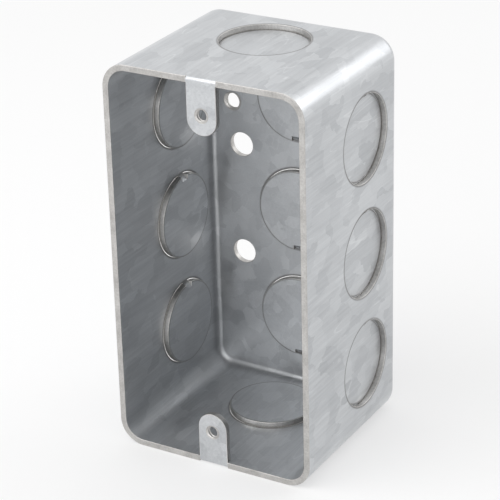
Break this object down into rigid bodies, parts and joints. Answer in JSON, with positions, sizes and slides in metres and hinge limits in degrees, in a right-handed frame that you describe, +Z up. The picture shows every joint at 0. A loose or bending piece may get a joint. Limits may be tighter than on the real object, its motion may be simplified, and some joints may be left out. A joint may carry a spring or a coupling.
{
  "type": "handy box",
  "caption": "Deep-drawn steel handy box: an open rectangular outlet box with tapped ears at its rim and round knockouts in every wall.",
  "frame": {"origin": "middle of the footprint of the end that the box stands on", "axes": "+Z up along the box's length, -Y out of the mouth, +X to the right as seen from the front"},
  "size_m": [0.054, 0.0476, 0.1016],
  "materials": {
    "galvanised_steel": "pre-galvanised sheet, satin, with bare sheared edges"
  },
  "bodies": {
    "root": {"box_body": "galvanised_steel"}
  },
  "joints": []
}
